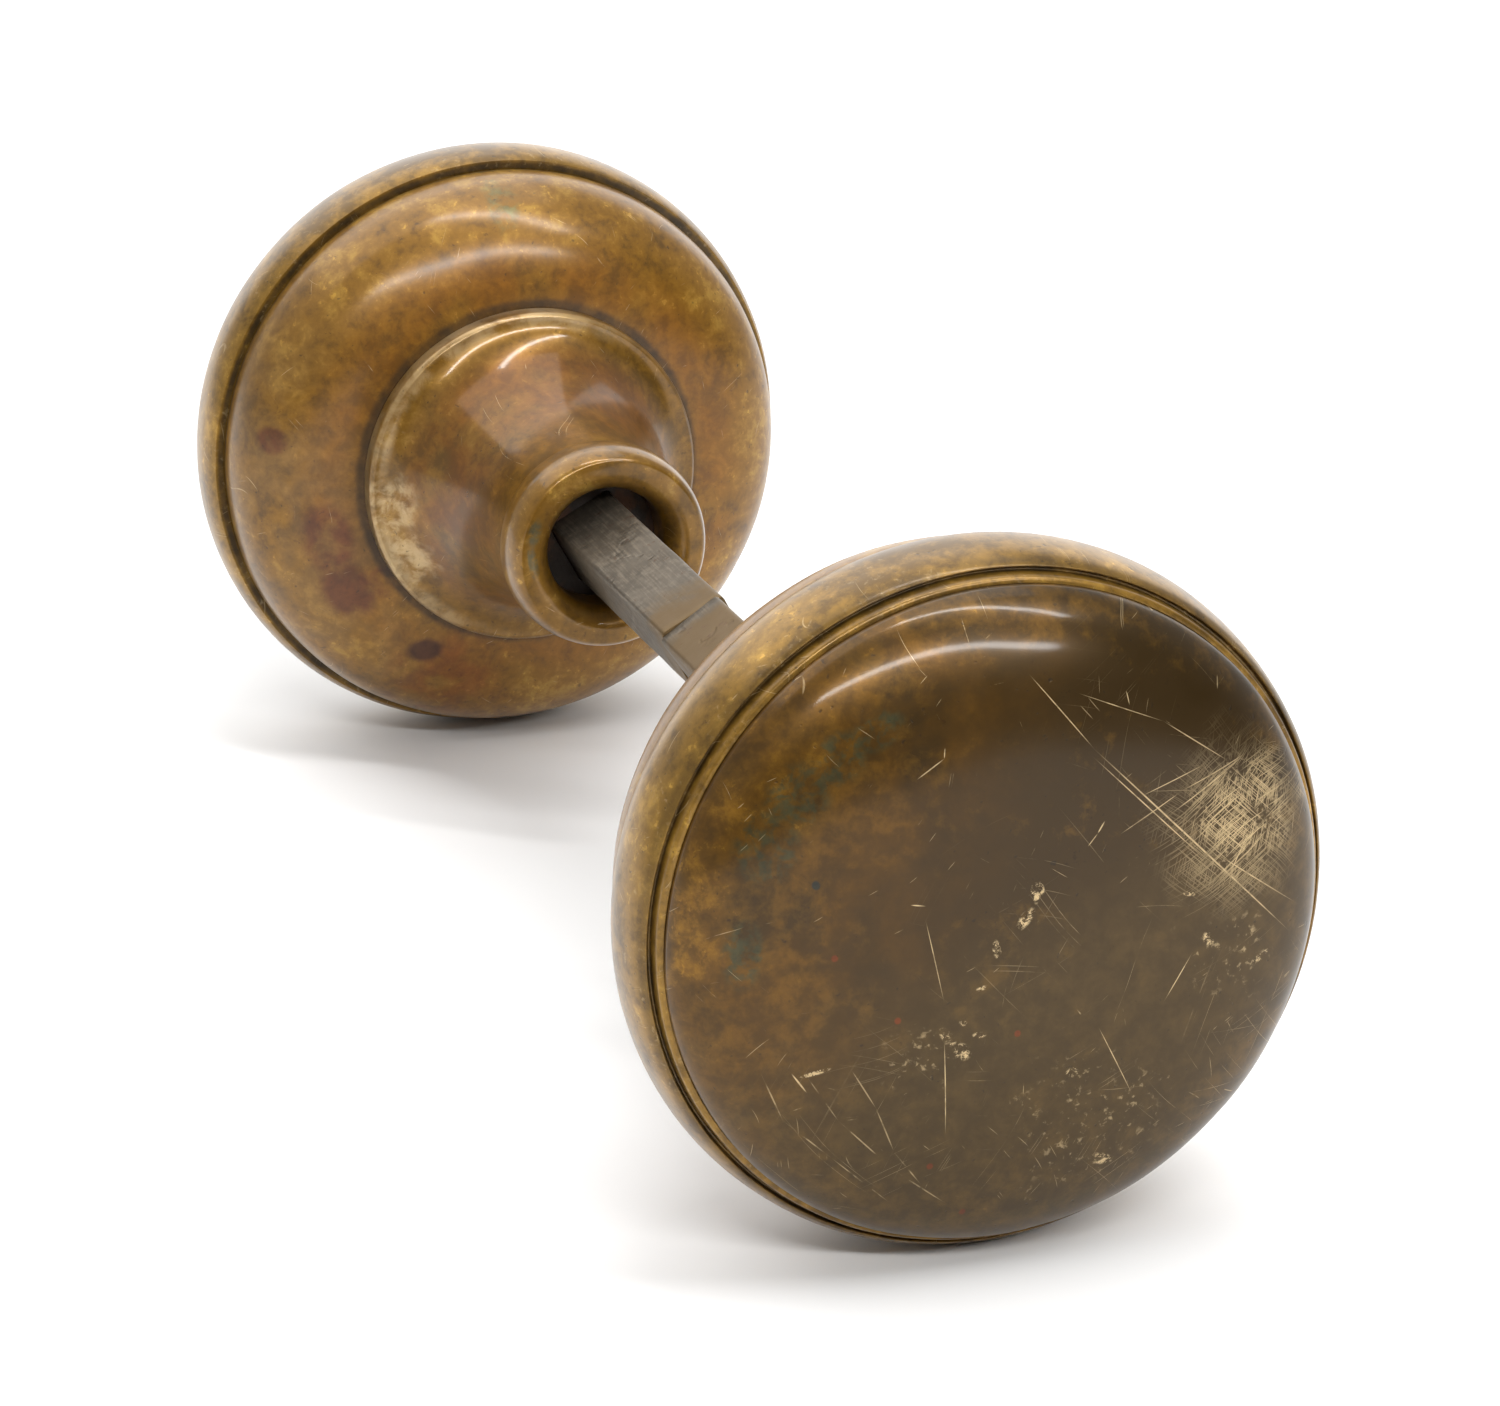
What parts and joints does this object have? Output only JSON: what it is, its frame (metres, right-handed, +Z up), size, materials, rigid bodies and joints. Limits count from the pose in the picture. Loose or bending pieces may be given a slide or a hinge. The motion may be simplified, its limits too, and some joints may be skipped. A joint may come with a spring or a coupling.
{
  "type": "door knob set",
  "caption": "Domed round door knobs on a square swivel spindle, each held by a set screw through its waisted shank.",
  "frame": {"origin": "on the spindle's axis, midway between the two knobs' faces", "axes": "+X along the spindle to the outside knob's face, +Z up with the set lying on its rims"},
  "size_m": [0.1546, 0.057, 0.057],
  "materials": {
    "face_brass": "dark olive brown patina, worn satin, scratched",
    "rim_brass": "golden olive patina, satin",
    "back_brass": "golden brown patina, satin",
    "shank_brass": "golden brown patina, rubbed bright on the edges",
    "spindle_steel": "dull grey steel with brown tarnish",
    "screw_steel": "dull steel",
    "inner_steel": "unpolished steel",
    "core_iron": "dark cast iron"
  },
  "bodies": {
    "inside_spindle": {"inside_half_spindle": "spindle_steel", "swivel_groove_pin": "screw_steel"},
    "outside_spindle": {"outside_half_spindle": "spindle_steel", "swivel_stud": "inner_steel", "stud_lock_pin": "screw_steel"},
    "inside_knob": {"inside_face_shell": "face_brass", "inside_rim_bezel": "rim_brass", "inside_back_shell": "back_brass", "inside_stiffener_cup": "inner_steel", "inside_backing_washer": "inner_steel", "inside_shank": "shank_brass", "inside_square_core": "core_iron"},
    "outside_knob": {"outside_face_shell": "face_brass", "outside_rim_bezel": "rim_brass", "outside_back_shell": "back_brass", "outside_stiffener_cup": "inner_steel", "outside_backing_washer": "inner_steel", "outside_shank": "shank_brass", "outside_square_core": "core_iron"},
    "inside_screw": {"inside_set_screw": "screw_steel"},
    "outside_screw": {"outside_set_screw": "screw_steel"}
  },
  "joints": [
    {"name": "spindle_swivel", "type": "hinge", "parent": "inside_spindle", "child": "outside_spindle", "pos_m": [0, 0, 0], "axis": [1, 0, 0], "continuous": true},
    {"name": "outside_knob_slide", "type": "slide", "parent": "outside_spindle", "child": "outside_knob", "axis": [1, 0, 0], "range_m": [-0.005, 0.012]},
    {"name": "inside_knob_slide", "type": "slide", "parent": "inside_spindle", "child": "inside_knob", "axis": [-1, 0, 0], "range_m": [-0.005, 0.012]},
    {"name": "outside_set_screw_travel", "type": "slide", "parent": "outside_knob", "child": "outside_screw", "axis": [0, 0.5736, -0.8192], "range_m": [0, 0.004]},
    {"name": "inside_set_screw_travel", "type": "slide", "parent": "inside_knob", "child": "inside_screw", "axis": [0, 0.4772, -0.8788], "range_m": [0, 0.004]}
  ]
}
